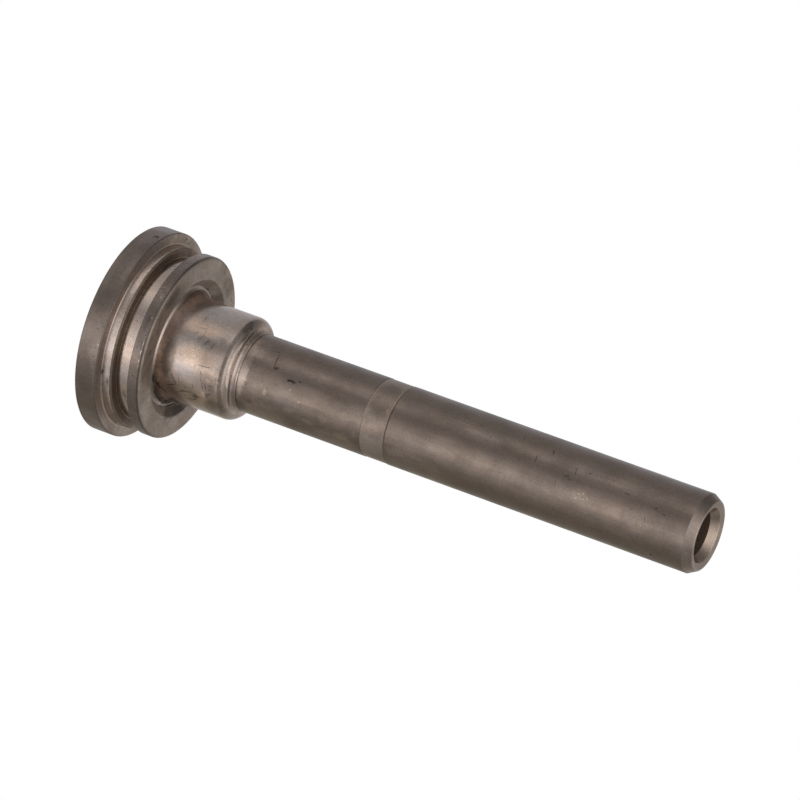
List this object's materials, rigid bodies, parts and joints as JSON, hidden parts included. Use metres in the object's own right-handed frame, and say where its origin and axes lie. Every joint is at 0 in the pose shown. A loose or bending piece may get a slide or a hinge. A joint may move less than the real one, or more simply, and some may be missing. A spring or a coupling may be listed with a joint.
{
  "type": "stepped shaft",
  "caption": "Turned steel shaft with a flange, a grooved and recessed head, a rounded journal and a long stem with a dished end, a blind bore and a centre in its mouth.",
  "frame": {"origin": "centre of the flange's back face, on which the shaft stands", "axes": "+Z along the shaft's axis, from the flange to the free end of the stem; X and Y are alike on a turned part"},
  "size_m": [0.066, 0.066, 0.1992],
  "materials": {
    "turned_steel": "turned and ground steel, heat-darkened to a brownish grey, with handling stains and fine pits"
  },
  "bodies": {
    "root": {"stepped_shaft": "turned_steel"}
  },
  "joints": []
}
